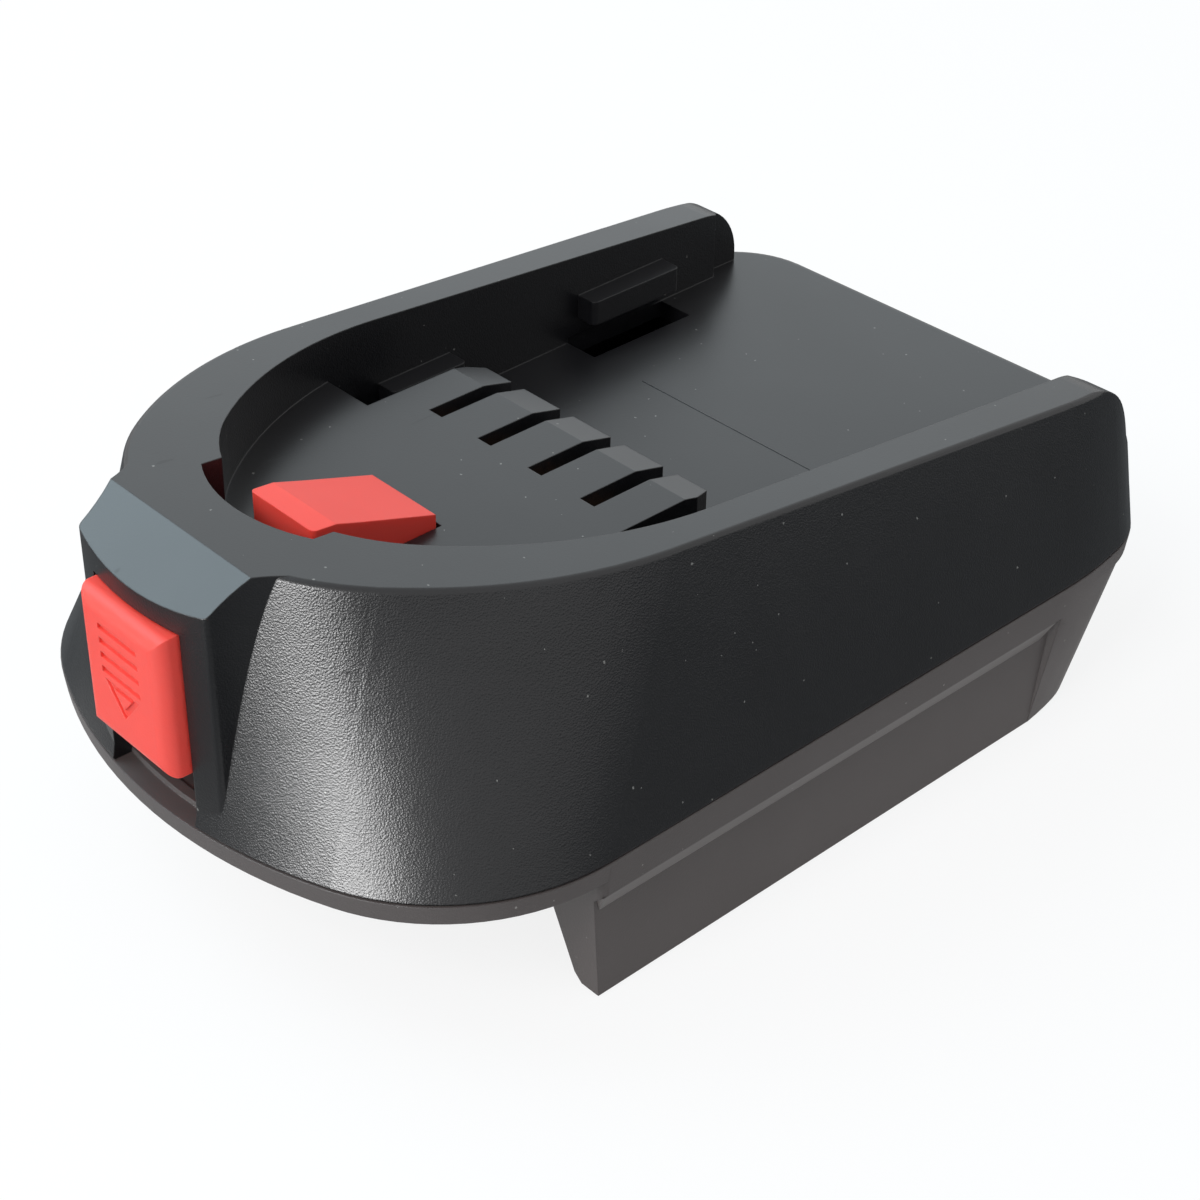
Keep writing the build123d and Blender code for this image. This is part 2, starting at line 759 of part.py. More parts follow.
def blade_block():
    """block that drops through the lower shell and holds the blades"""
    body = span_box(-blade_block_half, blade_block_half, block_front, block_rear,
                    blade_block_bottom, joint_z + blade_flange_thickness)
    margin = blade_flange_margin
    flange_z = joint_z + seat_gap
    body += span_box(-blade_block_half - margin, blade_block_half + margin, block_front - margin,
                     block_rear, flange_z, joint_z + blade_flange_thickness)
    body += [rod(x, y, flange_z, joint_z + blade_flange_thickness, blade_ear_r) for x, y in blade_ears()]
    body -= [battery_blade(x, blade_fit) for x in slot_places()]
    core = small_shank_r + slide_gap
    return body - [rod(x, y, joint_z - overrun, sky_z, core) for x, y in blade_ears()]


def circuit_board():
    z0 = joint_z + board_lift + seat_gap
    board = span_box(-board_half, board_half, board_front_y, board_rear_y, z0, z0 + board_thickness)
    return board - [rod(x, y, joint_z, sky_z, board_peg_r + board_peg_gap) for x, y in board_places()]


def id_resistor():
    length, width, height = resistor_size
    z0 = joint_z + board_lift + board_thickness + 2 * seat_gap
    return Pos(0, resistor_y, z0 + height / 2) * Box(length, width, height)


def screw(x, y, seat_z, up, head, shank, drive):
    """pan head screw with a plain shank and a round drive recess; up is +1 when it points up"""
    (head_r, head_h), (shank_r, length), (recess_r, recess) = head, shank, drive
    body = rod(0, 0, -head_h, 0, head_r) + rod(0, 0, 0, length, shank_r)
    body = chamfer(body.edges().group_by(Axis.Z)[0], head_h * head_chamfer_share)
    body -= rod(0, 0, -head_h, recess - head_h, recess_r)
    if up < 0:
        body = mirror(body, Plane.XY)
    return Pos(x, y, seat_z) * body


def housing_screws():
    return [screw(x, y, screw_seat_z - seat_gap, 1, (screw_head_r, screw_head_h),
                  (screw_shank_r, screw_length), (drive_r, drive_depth)) for x, y, _ in screw_places()]


def small_screw(x, y, seat_z, up):
    return screw(x, y, seat_z, up, (small_head_r, small_head_h), (small_shank_r, small_length),
                 (small_drive_r, small_drive_depth))


def carrier_screws():
    seat = carrier_top - ear_thickness - seat_gap
    return [small_screw(x, y, seat, 1) for x, y in ear_places()]


def blade_block_screws():
    seat = joint_z + blade_flange_thickness + seat_gap
    return [small_screw(x, y, seat, -1) for x, y in blade_ears()]


def wire(points, radius):
    """round wire along a smooth path that starts and ends along the adapter"""
    path = Spline(*points, tangents=[(0, 1, 0), (0, 1, 0)])
    section = Plane(origin=path @ 0, z_dir=path % 0) * Circle(radius)
    return sweep(section, path=path)


def power_wire(side):
    """from an outer tool contact's tail round the board to an outer blade's tail"""
    x = side * slot_places()[-1]
    z = joint_z + wire_lift + power_wire_r
    lane = side * wire_side_x
    beside = seat_gap + power_wire_r
    start = (x + side * (sheet / 2 + beside), fork_middle() - tail_width / 2,
             carrier_bottom - tail_drop + power_wire_r)
    end = (x + side * (blade_thickness / 2 + beside), (block_front + block_rear + blade_tail_width) / 2,
           blade_tail_top - power_wire_r)
    return wire([start, (lane, wire_bend_y, z), (lane, board_rear_y, z), end], power_wire_r)


def sense_wires(side):
    """the tool's half and the battery's half of one sense line, both soldered on the board"""
    x = side * slot_places()[-2]
    beside = seat_gap + sense_wire_r
    pad_z = joint_z + board_lift + board_thickness + seat_gap + beside
    start = (x + side * (sheet / 2 + beside), fork_middle() - tail_width / 2,
             carrier_bottom - tail_drop + sense_wire_r)
    end = (x + side * (blade_thickness / 2 + beside), (block_front + block_rear + blade_tail_width) / 2,
           blade_tail_top - sense_wire_r)
    tool = wire([start, (x, board_front_y + solder_length, pad_z)], sense_wire_r)
    battery = wire([(x, board_rear_y - solder_length, pad_z), end], sense_wire_r)
    return tool, battery


def spring_gap():
    """least gap between the turns of a spring, measured on points of its helix"""
    turn = spring_path_length() / spring_coils
    steps = ceil(2 * pi * spring_mean_r / spring_wire_r)
    gaps = []
    for step in range(-steps // 2, steps // 2 + 1):
        angle = 2 * pi * step / steps
        across = hypot(spring_mean_r * (1 - cos(angle)), spring_mean_r * sin(angle))
        gaps.append(hypot(across, turn * (1 + step / steps)) - 2 * spring_wire_r)
    return min(gaps)


def build_parts():
    """every node of the adapter, as name and solid or list of solids"""
    parts = {"upper_housing": upper_housing(), "lower_housing": lower_housing(),
             "release_latch": release_latch(), "contact_carrier": contact_carrier(),
             "blade_block": blade_block(), "circuit_board": circuit_board(),
             "id_resistor": id_resistor(), "housing_screws": housing_screws(),
             "carrier_screws": carrier_screws(), "blade_block_screws": blade_block_screws()}
    for index, x in enumerate(slot_places(), start=1):
        parts[f"tool_contact_{index}"] = tool_contact(x)
        parts[f"battery_blade_{index}"] = battery_blade(x)
    for name, side in (("left", -1), ("right", 1)):
        parts[f"latch_spring_{name}"] = latch_spring(side * spring_x, spring_y)
        tool, battery = sense_wires(side)
        parts[f"sense_wire_tool_{name}"] = tool
        parts[f"sense_wire_battery_{name}"] = battery
    parts["wire_positive"] = power_wire(-1)
    parts["wire_negative"] = power_wire(1)
    return parts


os.makedirs("parts", exist_ok=True)
for name, shape in build_parts().items():
    if isinstance(shape, list):
        shape = Compound(children=[screw_body.solid() for screw_body in shape])
    export_step(shape, f"parts/{name}.step")
print("least spring gap", round(spring_gap(), 2), "mm")
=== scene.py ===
# %% [markdown]
# # A slide-on battery adapter, dressed for its portrait
# The adapter is a handful of mouldings screwed together: an upper shell with a horseshoe channel for the
# tool's foot, a lower shell with two skirts that hold the battery, and a red latch pushed up by two
# springs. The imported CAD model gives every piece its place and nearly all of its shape. This script adds
# the small details that the drawing leaves out, and gives each surface its finish.

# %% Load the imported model
import math
import bmesh
import bpy
from mathutils import Matrix, Vector


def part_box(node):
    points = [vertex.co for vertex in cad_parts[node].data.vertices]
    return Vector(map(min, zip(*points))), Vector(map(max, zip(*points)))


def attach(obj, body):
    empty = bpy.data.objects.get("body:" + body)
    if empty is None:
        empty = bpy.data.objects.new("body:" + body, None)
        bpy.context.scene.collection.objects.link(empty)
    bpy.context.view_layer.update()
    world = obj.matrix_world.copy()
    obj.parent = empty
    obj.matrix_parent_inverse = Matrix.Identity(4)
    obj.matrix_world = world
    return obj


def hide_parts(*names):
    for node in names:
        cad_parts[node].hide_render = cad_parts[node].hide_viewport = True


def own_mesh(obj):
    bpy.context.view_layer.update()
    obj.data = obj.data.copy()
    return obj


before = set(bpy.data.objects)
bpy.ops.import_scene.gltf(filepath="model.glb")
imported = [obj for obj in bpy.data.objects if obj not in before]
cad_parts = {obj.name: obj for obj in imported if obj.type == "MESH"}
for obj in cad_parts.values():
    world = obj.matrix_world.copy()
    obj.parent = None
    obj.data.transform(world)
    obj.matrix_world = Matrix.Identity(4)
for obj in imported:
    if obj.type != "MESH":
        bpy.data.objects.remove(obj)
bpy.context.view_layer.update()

# %% [markdown]
# Mouldings are drawn in millimetres and Blender works in metres, so one factor turns one into the other.
# Each new piece is shaped as a bmesh, and `make_piece` turns that into an object: the mesh gets its
# material, is shaded smooth between its sharp edges, and rides on the body that carries it on the real
# adapter. Its normals are weighted by area, which keeps a flat face flat next to a small rounding.

# %% Millimetres and finished pieces
mm = 0.001
weld_distance = 0.002 * mm


def make_piece(name, shape, body, material, smooth_deg=35):
    """turn a bmesh into a piece of the scene that rides on a body"""
    mesh = bpy.data.meshes.new(name)
    shape.to_mesh(mesh)
    shape.free()
    mesh.materials.append(material)
    piece = bpy.data.objects.new(name, mesh)
    bpy.context.scene.collection.objects.link(piece)
    mesh.shade_smooth()
    mesh.set_sharp_from_angle(angle=math.radians(smooth_deg))
    even = piece.modifiers.new("even_shading", "WEIGHTED_NORMAL")
    even.mode = "FACE_AREA"
    even.weight = 90
    even.keep_sharp = True
    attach(piece, body)
    return piece


# %% [markdown]
# The camera repeats the photograph. It could be moved by eye until the two pictures agree, but lens and
# distance trade against each other there. Lines that run along and across the real adapter meet in
# vanishing points, and those gave the focal length, the turn and the height. The optical centre of the
# cropped picture isn't its middle, so the lens is shifted a little.

# %% Camera at the photograph's angle
photo_px = 1200
focal_px = 2420
optical_px = (502, 552)
turn_deg, height_deg, roll_deg = 49.21, 33.57, 0.56
camera_place = Vector((167.2, -156.3, 173.4)) * mm
sensor_width = 36

turn, height, roll = (math.radians(v) for v in (turn_deg, height_deg, roll_deg))
right = Vector((math.cos(turn), math.sin(turn), 0))
back = Vector((math.sin(turn) * math.cos(height), -math.cos(turn) * math.cos(height), math.sin(height)))
down = (-back).cross(right)
rolled_right = math.cos(roll) * right + math.sin(roll) * down
rolled_up = math.sin(roll) * right - math.cos(roll) * down

lens = bpy.data.cameras.new("portrait_lens")
lens.sensor_width = sensor_width
lens.lens = focal_px / photo_px * sensor_width
lens.shift_x = (photo_px / 2 - optical_px[0]) / photo_px
lens.shift_y = (optical_px[1] - photo_px / 2) / photo_px
lens.clip_start, lens.clip_end = 0.01, 20
camera = bpy.data.objects.new("portrait_camera", lens)
bpy.context.scene.collection.objects.link(camera)
camera.matrix_world = Matrix((
    (rolled_right.x, rolled_up.x, back.x, camera_place.x),
    (rolled_right.y, rolled_up.y, back.y, camera_place.y),
    (rolled_right.z, rolled_up.z, back.z, camera_place.z),
    (0, 0, 0, 1),
))
bpy.context.scene.camera = camera
bpy.context.scene.view_settings.view_transform = "Standard"
print("lens", round(lens.lens, 1), "mm, shift", round(lens.shift_x, 3), round(lens.shift_y, 3))

# %% [markdown]
# The room, the floor and every finish are trees of shader nodes. They could be wired by hand in the editor,
# but in a script each node takes several lines. Two helpers keep the recipes short: one adds a node with its
# settings, and one feeds a socket from another socket or from a plain value.


# %% Nodes and what feeds them
def node_of(tree, kind, **settings):
    """add a shader node, with sockets given by name and anything else set as a property"""
    made = tree.nodes.new(kind)
    for name, value in settings.items():
        socket = made.inputs.get(name.replace("_", " "))
        if socket is not None:
            socket.default_value = value
        else:
            setattr(made, name, value)
    return made


def feed(tree, value, socket):
    """link a socket to the one that feeds it, or set it to a plain value"""
    if hasattr(value, "is_linked"):
        tree.links.new(value, socket)
    else:
        socket.default_value = value


# %% [markdown]
# Most of the wiring in this script is sums: on numbers, such as a roughness that a scratch raises, and on
# places. Each of these helpers adds one node and gives back its result, so that a recipe reads from the
# inside out, as a formula does.


# %% Sums and mixes
def math_of(tree, operation, first, second=0.0):
    """the result of a sum on two numbers"""
    made = node_of(tree, "ShaderNodeMath", operation=operation)
    feed(tree, first, made.inputs[0])
    feed(tree, second, made.inputs[1])
    return made.outputs[0]


def vector_of(tree, operation, first, second=(0, 0, 0)):
    """the result of a sum on two vectors"""
    made = node_of(tree, "ShaderNodeVectorMath", operation=operation)
    feed(tree, first, made.inputs[0])
    feed(tree, second, made.inputs[1])
    return made.outputs["Value" if operation == "LENGTH" else "Vector"]


def shader_mix(tree, share, first, second):
    """a mix of two shaders; at a share of 0 it is the first, at 1 the second"""
    made = node_of(tree, "ShaderNodeMixShader")
    for value, socket in zip((share, first, second), made.inputs):
        tree.links.new(value, socket)
    return made.outputs[0]


# %% [markdown]
# Black plastic has almost no colour of its own: what a photograph shows is the room mirrored in it. So the
# room matters more than the lamps here. A white world alone would flood every face with light. The Light
# Path node tells why a ray was sent, and with it one background can play several parts: this world is
# white for the camera and for mirrored rays, and only as bright as a plain room for all the others.

# %% Room
room_colour = (0.9, 0.96, 1, 1)
room_strength = 0.65
white_colour = (1, 1, 1, 1)


def background_share(tree, seen, mirrored):
    """how much of the white background a ray shows: seen directly or through glass, and mirrored"""
    rays = node_of(tree, "ShaderNodeLightPath")
    direct = math_of(tree, "MAXIMUM", rays.outputs["Is Camera Ray"], rays.outputs["Is Transmission Ray"])
    direct_part = math_of(tree, "MULTIPLY", direct, seen)
    mirrored_part = math_of(tree, "MULTIPLY", rays.outputs["Is Glossy Ray"], mirrored)
    return math_of(tree, "ADD", direct_part, mirrored_part)


world = bpy.data.worlds.new("room")
bpy.context.scene.world = world
world.use_nodes = True
tree = world.node_tree
tree.nodes.clear()
room = node_of(tree, "ShaderNodeBackground", Color=room_colour, Strength=room_strength)
white = node_of(tree, "ShaderNodeBackground", Color=white_colour, Strength=1.0)
either = shader_mix(tree, background_share(tree, 1.0, 1.0), room.outputs[0], white.outputs[0])
out = node_of(tree, "ShaderNodeOutputWorld")
tree.links.new(either, out.inputs[0])
print("room strength", room_strength)

# %% [markdown]
# The floor is a wide round sheet, a hair below the part so that the two never flicker into each other.

# %% Floor sheet
floor_radius, floor_sides = 1.6, 96
floor_drop = 0.2 * mm

floor_shape = bmesh.new()
bmesh.ops.create_circle(floor_shape, cap_ends=True, segments=floor_sides, radius=floor_radius)
bmesh.ops.translate(floor_shape, verts=floor_shape.verts, vec=(0, 0, -floor_drop))
floor_mesh = bpy.data.meshes.new("pale_floor")
floor_shape.to_mesh(floor_mesh)
floor_shape.free()
floor = bpy.data.objects.new("pale_floor", floor_mesh)
bpy.context.scene.collection.objects.link(floor)
print("floor radius", floor_radius, "m")

# %% [markdown]
# Its finish is white paper. Plain white paper would need strong lamps to come out white, and they would
# wash out the black plastic. So for the camera most of the floor is plain white, and the rest is its own
# shading, which carries the shadow. In a mirrored ray it is pale close to the part and a dark table farther
# out: the low faces catch the paper, and the tall flanks keep the black that they have in the photograph.

# %% Floor paper
paper_colour = (0.8, 0.8, 0.8, 1)
mirrored_table_colour = (0.13, 0.13, 0.13, 1)
paper_white_share = 0.85
any_height = 1.0
footprint = (38 * mm, 60 * mm, any_height)
mirror_fall_from, mirror_fall_to = 6 * mm, 26 * mm
mirror_share_near, mirror_share_far = 0.6, 0.05


def near_the_part(tree):
    """how much white a mirrored ray finds: it falls off with the distance from the part's footprint"""
    place = node_of(tree, "ShaderNodeTexCoord").outputs["Object"]
    beyond = vector_of(tree, "SUBTRACT", vector_of(tree, "ABSOLUTE", place), footprint)
    distance = vector_of(tree, "LENGTH", vector_of(tree, "MAXIMUM", beyond))
    fall = node_of(tree, "ShaderNodeMapRange", interpolation_type="SMOOTHSTEP", From_Min=mirror_fall_from,
                   From_Max=mirror_fall_to, To_Min=mirror_share_near, To_Max=mirror_share_far)
    tree.links.new(distance, fall.inputs["Value"])
    return fall.outputs["Result"]


floor_paper = bpy.data.materials.new("floor_paper")
floor_paper.use_nodes = True
tree = floor_paper.node_tree
tree.nodes.clear()
paper = node_of(tree, "ShaderNodeBsdfDiffuse", Color=paper_colour)
table = node_of(tree, "ShaderNodeBsdfDiffuse", Color=mirrored_table_colour)
bright = node_of(tree, "ShaderNodeEmission", Color=white_colour, Strength=1.0)
shaded = shader_mix(tree, background_share(tree, 0.0, 1.0), paper.outputs[0], table.outputs[0])
white_part = background_share(tree, paper_white_share, near_the_part(tree))
finished_floor = shader_mix(tree, white_part, shaded, bright.outputs[0])
out = node_of(tree, "ShaderNodeOutputMaterial")
tree.links.new(finished_floor, out.inputs[0])
floor_mesh.materials.append(floor_paper)
print("the camera sees", paper_white_share, "of the floor as plain white")

# %% [markdown]
# Satin plastic shows a lamp twice, as light on its surface and as a soft reflection. One lamp for both
# can't be set right for both, so two of the lamps here do only one of these. The sheen lamp lies low in
# front of the button, and is seen only as the long light on the near flank. The front lamp brightens the
# faces, and isn't mirrored. Two cool lamps fill the far sides.


# %% Lamps
def soft_lamp(name, place, aim, size, power, colour=(1, 1, 1)):
    """a square studio lamp that looks at a point"""
    lamp = bpy.data.lights.new(name, "AREA")
    lamp.size = size
    lamp.energy = power
    lamp.color = colour
    stand = bpy.data.objects.new(name, lamp)
    bpy.context.scene.collection.objects.link(stand)
    stand.location = place
    stand.rotation_mode = "QUATERNION"
    stand.rotation_quaternion = (Vector(aim) - Vector(place)).to_track_quat("-Z", "Y")
    return stand


cool_light = (0.7, 0.9, 1.0)
part_middle = (0, 0, 0.03)
button_side = (0, -0.03, 0.02)
near_flank = (0.01, -0.03, 0.02)
sheen_lamp_height = 0.26

sheen_lamp = soft_lamp("sheen_lamp", place=(0.05, -0.7, 0.07), aim=near_flank, size=0.55, power=13.0)
sheen_lamp.data.shape = "RECTANGLE"
sheen_lamp.data.size_y = sheen_lamp_height
sheen_lamp.visible_diffuse = False
front_lamp = soft_lamp("front_lamp", place=(0.1, -0.75, 0.7), aim=button_side, size=0.4, power=5.5)
front_lamp.visible_glossy = False
soft_lamp("left_lamp", place=(-0.6, -0.3, 0.7), aim=part_middle, size=0.6, power=5.5, colour=cool_light)
soft_lamp("back_lamp", place=(-0.75, 0.7, 0.6), aim=part_middle, size=0.8, power=1.0, colour=cool_light)
print("lamps:", len(bpy.data.lights))

# %% [markdown]
# Three effects return on many pieces: the fine spark texture that a mould leaves on plastic, the few specks
# of dust that sit on any black thing, and the hairline scratches and uneven gloss of handled plastic. Each
# is a node group with its own knobs, built once. A group hands out heights and masks only, and the shader
# itself stays in the material.


# %% An empty group with its knobs
def new_group(name, inputs, outputs):
    """an empty shader group with float sockets; inputs are name and starting value"""
    group = bpy.data.node_groups.new(name, "ShaderNodeTree")
    for title, value in inputs:
        socket = group.interface.new_socket(title, in_out="INPUT", socket_type="NodeSocketFloat")
        socket.default_value = value
    for title in outputs:
        group.interface.new_socket(title, in_out="OUTPUT", socket_type="NodeSocketFloat")
    return group, group.nodes.new("NodeGroupInput"), group.nodes.new("NodeGroupOutput")


# %% [markdown]
# The mould's grain could be a picture of a real surface, but a pattern needs no unwrapping. Cells of a
# Voronoi pattern make it, because spark erosion leaves small round pits. It is strong on the flanks and
# weak on level faces, as on a moulding whose top was polished. A soft noise beside it gives the slow drift
# of tone.

# %% Group for the moulded grain
level_normal, steep_normal = 0.75, 0.35
tone_per_metre = 90.0

grain_group, start, end = new_group("moulded_grain", [("Grain per metre", 2600.0), ("On tops", 0.15)],
                                    ["Height", "Mask"])
place = node_of(grain_group, "ShaderNodeTexCoord")
fine = node_of(grain_group, "ShaderNodeTexVoronoi", feature="F1")
grain_group.links.new(place.outputs["Object"], fine.inputs["Vector"])
grain_group.links.new(start.outputs["Grain per metre"], fine.inputs["Scale"])
coarse = node_of(grain_group, "ShaderNodeTexNoise", Scale=tone_per_metre, Detail=2.0, Roughness=0.5)
grain_group.links.new(place.outputs["Object"], coarse.inputs["Vector"])
facing = node_of(grain_group, "ShaderNodeSeparateXYZ")
grain_group.links.new(place.outputs["Normal"], facing.inputs[0])
on_flanks = node_of(grain_group, "ShaderNodeMapRange", interpolation_type="SMOOTHSTEP",
                    From_Min=level_normal, From_Max=steep_normal)
grain_group.links.new(math_of(grain_group, "ABSOLUTE", facing.outputs["Z"]), on_flanks.inputs["Value"])
grain_group.links.new(start.outputs["On tops"], on_flanks.inputs["To Min"])
textured = math_of(grain_group, "MULTIPLY", fine.outputs["Distance"], on_flanks.outputs["Result"])
grain_group.links.new(textured, end.inputs["Height"])
grain_group.links.new(coarse.outputs["Fac"], end.inputs["Mask"])
print("group:", grain_group.name)

# %% [markdown]
# Dust is a second Voronoi pattern. A cell's random colour decides whether it holds a speck and how large
# that is, and the distance from the cell's middle draws it. A little noise on that distance makes the speck
# ragged, because a round one would look painted on.

# %% Group for the specks of dust
rag_per_metre, rag_size = 5500.0, 0.12
dust_cover = 0.25

dust_group, start, end = new_group("dust_specks", [("Specks per metre", 480.0), ("Size", 0.07),
                                                   ("Share", 0.1)], ["Mask"])
place = node_of(dust_group, "ShaderNodeTexCoord")
cells = node_of(dust_group, "ShaderNodeTexVoronoi", feature="F1")
dust_group.links.new(place.outputs["Object"], cells.inputs["Vector"])
dust_group.links.new(start.outputs["Specks per metre"], cells.inputs["Scale"])
pick = node_of(dust_group, "ShaderNodeSeparateColor")
dust_group.links.new(cells.outputs["Color"], pick.inputs[0])
chosen = math_of(dust_group, "LESS_THAN", pick.outputs[0], start.outputs["Share"])
reach = math_of(dust_group, "MULTIPLY", start.outputs["Size"], pick.outputs[1])
rag = node_of(dust_group, "ShaderNodeTexNoise", Scale=rag_per_metre, Detail=1.0)
dust_group.links.new(place.outputs["Object"], rag.inputs["Vector"])
uneven = math_of(dust_group, "MULTIPLY_ADD", rag.outputs["Fac"], rag_size)
uneven.node.inputs[2].default_value = -rag_size / 2
ragged_distance = math_of(dust_group, "ADD", cells.outputs["Distance"], uneven)
near = math_of(dust_group, "LESS_THAN", ragged_distance, reach)
speck = math_of(dust_group, "MULTIPLY", chosen, near)
dust_group.links.new(math_of(dust_group, "MULTIPLY", speck, dust_cover), end.inputs["Mask"])
print("group:", dust_group.name)

# %% [markdown]
# Handling leaves two marks. Skin oil makes the gloss uneven, in patches, which soft noise gives. Sliding in
# and out leaves hairlines: noise that is stretched along one direction, of which only the highest peaks are
# kept.

# %% Group for the marks of handling
noise_middle = 0.5
hairline_turn = (0.3, 0.5, 0.7)
hairline_per_metre = (1100.0, 90.0, 1100.0)
hairline_threshold = 0.86

handling_group, start, end = new_group("handling_marks", [("Patches per metre", 35.0), ("Strength", 0.5)],
                                       ["Gloss", "Scratch"])
place = node_of(handling_group, "ShaderNodeTexCoord")
patches = node_of(handling_group, "ShaderNodeTexNoise", Detail=3.0, Roughness=0.6)
handling_group.links.new(place.outputs["Object"], patches.inputs["Vector"])
handling_group.links.new(start.outputs["Patches per metre"], patches.inputs["Scale"])
centred = math_of(handling_group, "SUBTRACT", patches.outputs["Fac"], noise_middle)
swing = math_of(handling_group, "MULTIPLY", centred, start.outputs["Strength"])
handling_group.links.new(swing, end.inputs["Gloss"])
stretch = node_of(handling_group, "ShaderNodeMapping", Rotation=hairline_turn, Scale=hairline_per_metre)
handling_group.links.new(place.outputs["Object"], stretch.inputs["Vector"])
lines = node_of(handling_group, "ShaderNodeTexNoise", Scale=1.0, Detail=0.0)
handling_group.links.new(stretch.outputs["Vector"], lines.inputs["Vector"])
hairline = math_of(handling_group, "GREATER_THAN", lines.outputs["Fac"], hairline_threshold)
handling_group.links.new(hairline, end.inputs["Scratch"])
print("group:", handling_group.name)

# %% [markdown]
# A moulded plastic is one shader with small variations: its colour drifts a little, its gloss is uneven,
# the mould's texture gives it height, and dust lies on it. Small edges are drawn sharp, and rounding each
# of them in the mesh would be a long job for a width of a pixel or two, so a Bevel node rounds them in the
# shading alone. One function builds all that.

# %% Shader of a moulded plastic
dust_colour = (0.62, 0.6, 0.56, 1)
scratch_roughness = 0.08
scatter_spread, scatter_depth = (1.0, 0.25, 0.15), 1.2 * mm
edge_radius = 0.2 * mm


def use_group(tree, group, **values):
    """place a node group in a material, with its values"""
    made = tree.nodes.new("ShaderNodeGroup")
    made.node_tree = group
    for name, value in values.items():
        made.inputs[name.replace("_", " ")].default_value = value
    return made


def plastic(name, colour, other_colour, roughness, grain_per_metre, grain_height, gloss_swing=0.25,
            specular=0.5, dust=0.1, scatter=0.0):
    """a moulded plastic with grain, uneven gloss, hairline scratches and dust"""
    made = bpy.data.materials.new(name)
    made.use_nodes = True
    tree = made.node_tree
    shader = tree.nodes["Principled BSDF"]
    shader.inputs["Specular IOR Level"].default_value = specular
    if scatter:
        shader.inputs["Subsurface Weight"].default_value = scatter
        shader.inputs["Subsurface Radius"].default_value = scatter_spread
        shader.inputs["Subsurface Scale"].default_value = scatter_depth
    grain = use_group(tree, grain_group, Grain_per_metre=grain_per_metre)
    marks = use_group(tree, handling_group, Strength=gloss_swing)
    specks = use_group(tree, dust_group, Share=dust)
    drift = node_of(tree, "ShaderNodeMix", data_type="RGBA")
    drift.inputs["A"].default_value = (*colour, 1)
    drift.inputs["B"].default_value = (*other_colour, 1)
    tree.links.new(grain.outputs["Mask"], drift.inputs["Factor"])
    dusty = node_of(tree, "ShaderNodeMix", data_type="RGBA")
    dusty.inputs["B"].default_value = dust_colour
    tree.links.new(drift.outputs["Result"], dusty.inputs["A"])
    tree.links.new(specks.outputs["Mask"], dusty.inputs["Factor"])
    tree.links.new(dusty.outputs["Result"], shader.inputs["Base Color"])
    rough = math_of(tree, "ADD", marks.outputs["Gloss"], roughness)
    scratched = math_of(tree, "MULTIPLY", marks.outputs["Scratch"], scratch_roughness)
    tree.links.new(math_of(tree, "ADD", rough, scratched), shader.inputs["Roughness"])
    rounded = node_of(tree, "ShaderNodeBevel", Radius=edge_radius, samples=4)
    bump = node_of(tree, "ShaderNodeBump", Strength=1.0, Distance=grain_height)
    tree.links.new(grain.outputs["Height"], bump.inputs["Height"])
    tree.links.new(rounded.outputs["Normal"], bump.inputs["Normal"])
    tree.links.new(bump.outputs["Normal"], shader.inputs["Normal"])
    return made


# %% [markdown]
# Each moulding calls that function with its own numbers. The upper shell is satin and shows its grain, the
# lower shell is duller and warmer, and the red latch lets a little light into it, as red plastic does. The
# values were set by comparing the tones of a render with those of the photograph, place by place.

# %% Shells, latch and inner mouldings
upper_plastic = plastic("upper_shell_plastic", colour=(0.004, 0.004, 0.005),
                        other_colour=(0.008, 0.008, 0.009), roughness=0.31, grain_per_metre=5000,
                        grain_height=0.02 * mm, gloss_swing=0.1, dust=0.9)
lower_plastic = plastic("lower_shell_plastic", colour=(0.058, 0.047, 0.045),
                        other_colour=(0.07, 0.058, 0.056), roughness=0.5, grain_per_metre=4200,
                        grain_height=0.016 * mm, gloss_swing=0.15, dust=0.5)
# painted highlight: the skirt bevel is the lower shell's plastic painted about twice as light, for the light
# that the real bevel catches
bevel_plastic_painted_light = plastic("skirt_bevel_painted_light", colour=(0.115, 0.1, 0.095),
                        other_colour=(0.13, 0.115, 0.11), roughness=0.45, grain_per_metre=4200,
                        grain_height=0.008 * mm)
latch_plastic = plastic("latch_red_plastic", colour=(0.76, 0.058, 0.042),
                        other_colour=(0.82, 0.07, 0.052), roughness=0.45, grain_per_metre=3600,
                        grain_height=0.008 * mm, gloss_swing=0.15, specular=0.35, dust=0.02,
                        scatter=0.25)
inner_plastic = plastic("inner_black_plastic", colour=(0.014, 0.014, 0.015),
                        other_colour=(0.022, 0.022, 0.022), roughness=0.5, grain_per_metre=1500,
                        grain_height=0.01 * mm)
print("plastics:", [m.name for m in (upper_plastic, lower_plastic, bevel_plastic_painted_light, latch_plastic)])

# %% [markdown]
# The board is glass fibre under a green lacquer, the resistor a glazed chip, and each wire wears a soft
# sleeve. A lacquer or a glaze could have a clear coat of its own, but these pieces are small and shine like
# a smooth plastic with a faint grain. So the same function makes them.

# %% Board, resistor and insulation
board_green = plastic("board_solder_mask", colour=(0.012, 0.09, 0.03), other_colour=(0.018, 0.12, 0.04),
                      roughness=0.25, grain_per_metre=900, grain_height=0.004 * mm, gloss_swing=0.1,
                      dust=0.02)
resistor_glaze = plastic("resistor_glaze", colour=(0.015, 0.015, 0.018), other_colour=(0.03, 0.03, 0.032),
                         roughness=0.2, grain_per_metre=900, grain_height=0.003 * mm)


def insulation(name, colour, other_colour):
    """the soft sleeve of a wire"""
    return plastic(name, colour, other_colour, roughness=0.42, grain_per_metre=1200,
                   grain_height=0.006 * mm)


